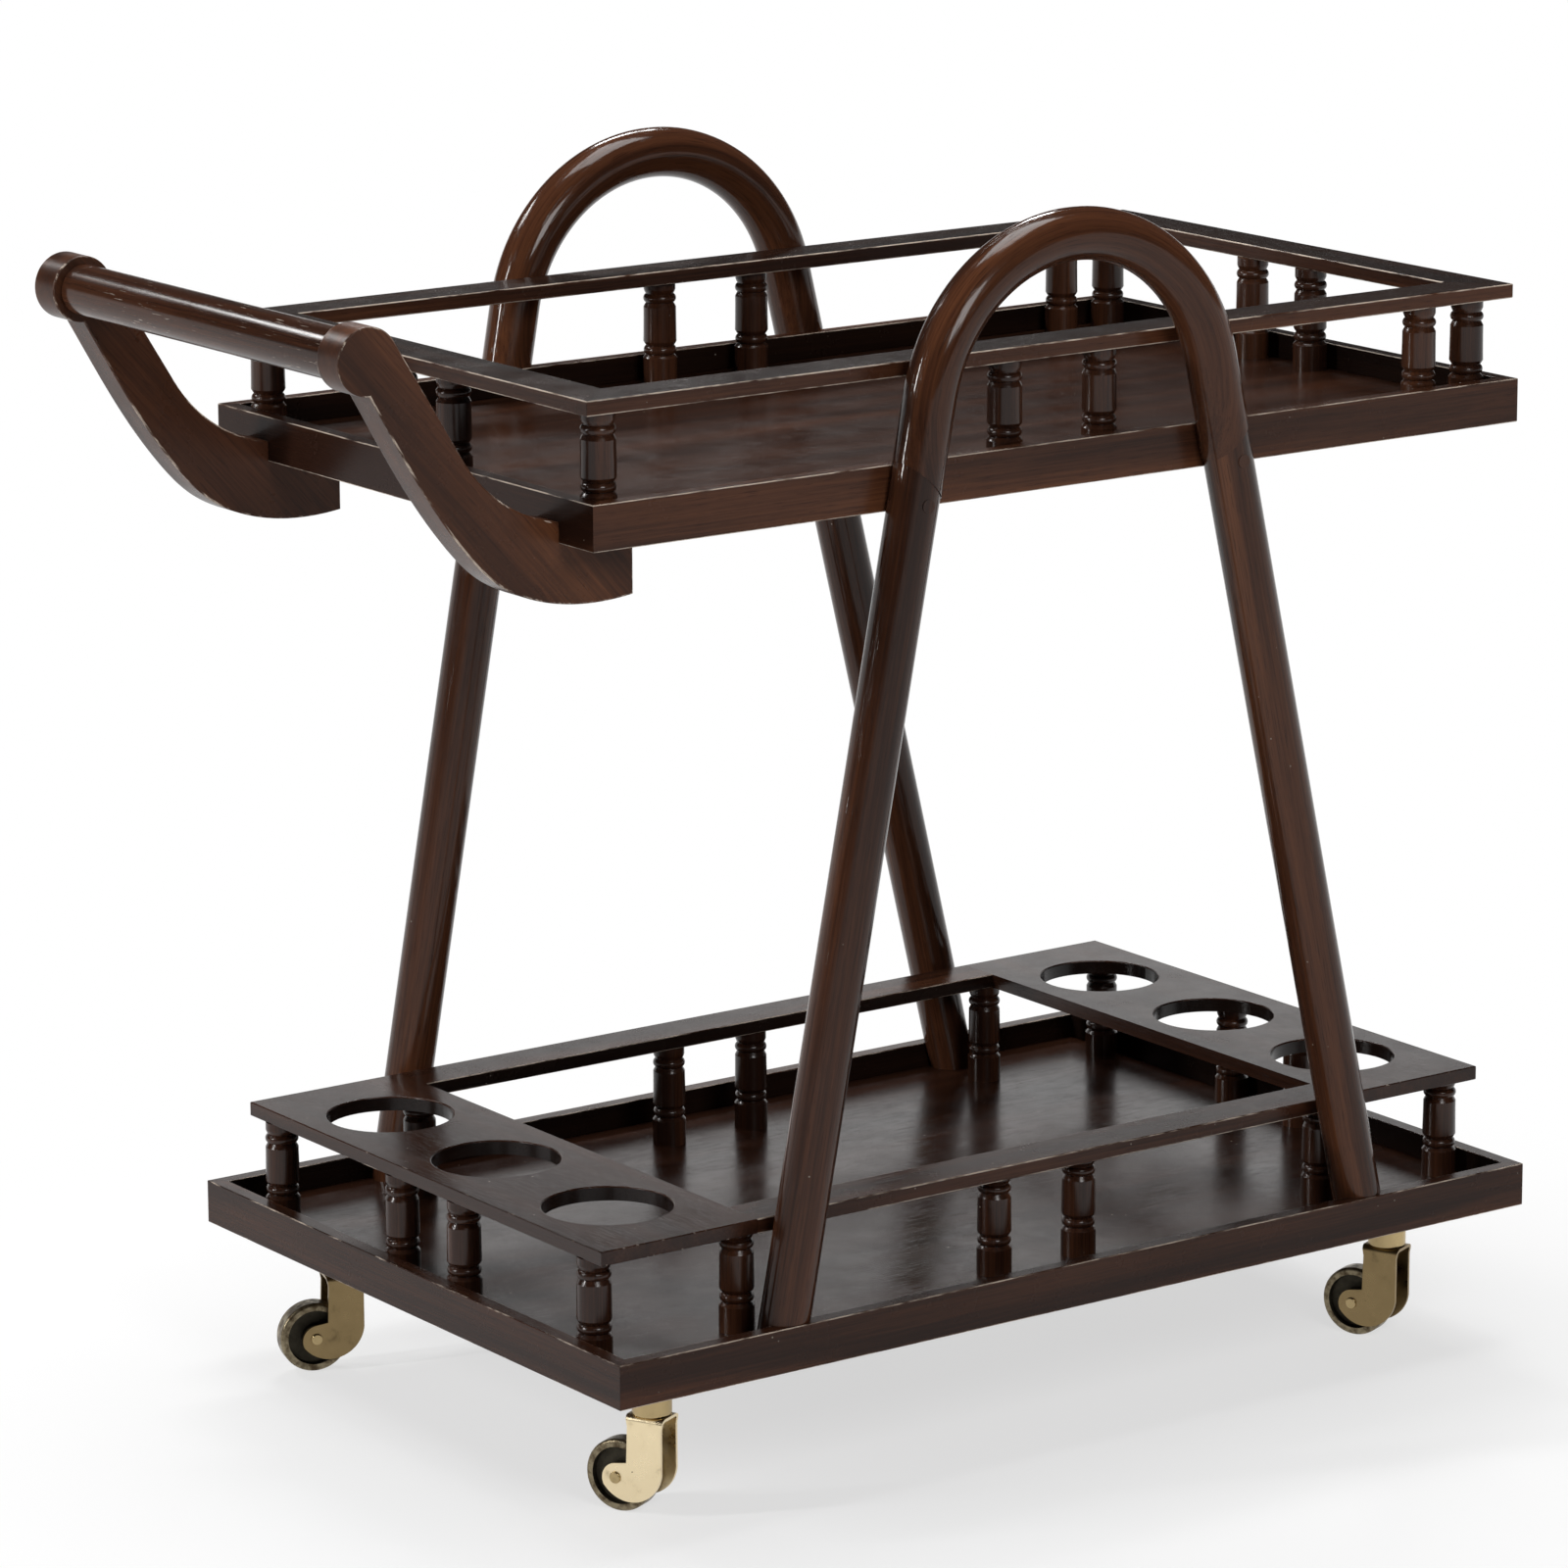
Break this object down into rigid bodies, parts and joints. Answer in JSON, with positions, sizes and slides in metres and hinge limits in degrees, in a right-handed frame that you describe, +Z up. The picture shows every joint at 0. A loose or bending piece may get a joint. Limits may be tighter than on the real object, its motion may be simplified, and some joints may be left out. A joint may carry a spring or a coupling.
{
  "type": "bar cart",
  "caption": "Wooden bar cart with an upper and a lower tray, arched side frames, spindle galleries, bottle-hole panels, a push bar on curved arms and swivel castors.",
  "frame": {"origin": "on the floor, below the middle of the overall box", "axes": "+Z up; +X along the trays, away from the push bar; +Y across the cart, away from the near long side"},
  "size_m": [0.9832, 0.542, 0.8892],
  "materials": {
    "stained_wood": "dark brown stain under satin lacquer, worn light along the edges",
    "castor_brass": "antique brass, satin",
    "wheel_bronze": "dark cast bronze"
  },
  "bodies": {
    "frame": {"bottom_panel": "stained_wood", "top_panel": "stained_wood", "bottom_rim_near": "stained_wood", "bottom_rim_far": "stained_wood", "bottom_rim_handle": "stained_wood", "bottom_rim_free": "stained_wood", "top_rim_near": "stained_wood", "top_rim_far": "stained_wood", "top_rim_handle": "stained_wood", "top_rim_free": "stained_wood", "gallery_rail_near": "stained_wood", "gallery_rail_far": "stained_wood", "gallery_rail_handle": "stained_wood", "gallery_rail_free": "stained_wood", "gallery_spindles_near": "stained_wood", "gallery_spindles_far": "stained_wood", "gallery_spindles_handle": "stained_wood", "gallery_spindles_free": "stained_wood", "lower_spindles_near": "stained_wood", "lower_spindles_far": "stained_wood", "lower_spindles_handle": "stained_wood", "lower_spindles_free": "stained_wood", "bottle_panel_handle": "stained_wood", "bottle_panel_free": "stained_wood", "side_rail_near": "stained_wood", "side_rail_far": "stained_wood", "arch_bend_near": "stained_wood", "arch_bend_far": "stained_wood", "arch_leg_near_handle": "stained_wood", "arch_leg_near_free": "stained_wood", "arch_leg_far_handle": "stained_wood", "arch_leg_far_free": "stained_wood", "arch_plugs": "stained_wood", "handle_arm_near": "stained_wood", "handle_arm_far": "stained_wood", "handle_bar": "stained_wood", "castor_neck_handle_near": "castor_brass", "castor_neck_handle_far": "castor_brass", "castor_neck_free_near": "castor_brass", "castor_neck_free_far": "castor_brass"},
    "fork_handle_near": {"castor_fork_handle_near": "castor_brass", "castor_axle_handle_near": "castor_brass"},
    "wheel_handle_near": {"castor_wheel_handle_near": "wheel_bronze"},
    "fork_handle_far": {"castor_fork_handle_far": "castor_brass", "castor_axle_handle_far": "castor_brass"},
    "wheel_handle_far": {"castor_wheel_handle_far": "wheel_bronze"},
    "fork_free_near": {"castor_fork_free_near": "castor_brass", "castor_axle_free_near": "castor_brass"},
    "wheel_free_near": {"castor_wheel_free_near": "wheel_bronze"},
    "fork_free_far": {"castor_fork_free_far": "castor_brass", "castor_axle_free_far": "castor_brass"},
    "wheel_free_far": {"castor_wheel_free_far": "wheel_bronze"}
  },
  "joints": [
    {"name": "swivel_handle_near", "type": "hinge", "parent": "frame", "child": "fork_handle_near", "pos_m": [-0.2564, -0.2025, 0.0729], "axis": [0, 0, 1], "continuous": true},
    {"name": "roll_handle_near", "type": "hinge", "parent": "fork_handle_near", "child": "wheel_handle_near", "pos_m": [-0.26648, -0.18183, 0.026], "axis": [-0.8988, -0.4384, 0], "continuous": true},
    {"name": "swivel_handle_far", "type": "hinge", "parent": "frame", "child": "fork_handle_far", "pos_m": [-0.2564, 0.2025, 0.0729], "axis": [0, 0, 1], "continuous": true},
    {"name": "roll_handle_far", "type": "hinge", "parent": "fork_handle_far", "child": "wheel_handle_far", "pos_m": [-0.2784, 0.20922, 0.026], "axis": [-0.2924, -0.9563, 0], "continuous": true},
    {"name": "swivel_free_near", "type": "hinge", "parent": "frame", "child": "fork_free_near", "pos_m": [0.4086, -0.2025, 0.0729], "axis": [0, 0, 1], "continuous": true},
    {"name": "roll_free_near", "type": "hinge", "parent": "fork_free_near", "child": "wheel_free_near", "pos_m": [0.39961, -0.18133, 0.026], "axis": [-0.9205, -0.3907, 0], "continuous": true},
    {"name": "swivel_free_far", "type": "hinge", "parent": "frame", "child": "fork_free_far", "pos_m": [0.4086, 0.2025, 0.0729], "axis": [0, 0, 1], "continuous": true},
    {"name": "roll_free_far", "type": "hinge", "parent": "fork_free_far", "child": "wheel_free_far", "pos_m": [0.39205, 0.21848, 0.026], "axis": [-0.6947, -0.7193, 0], "continuous": true}
  ]
}
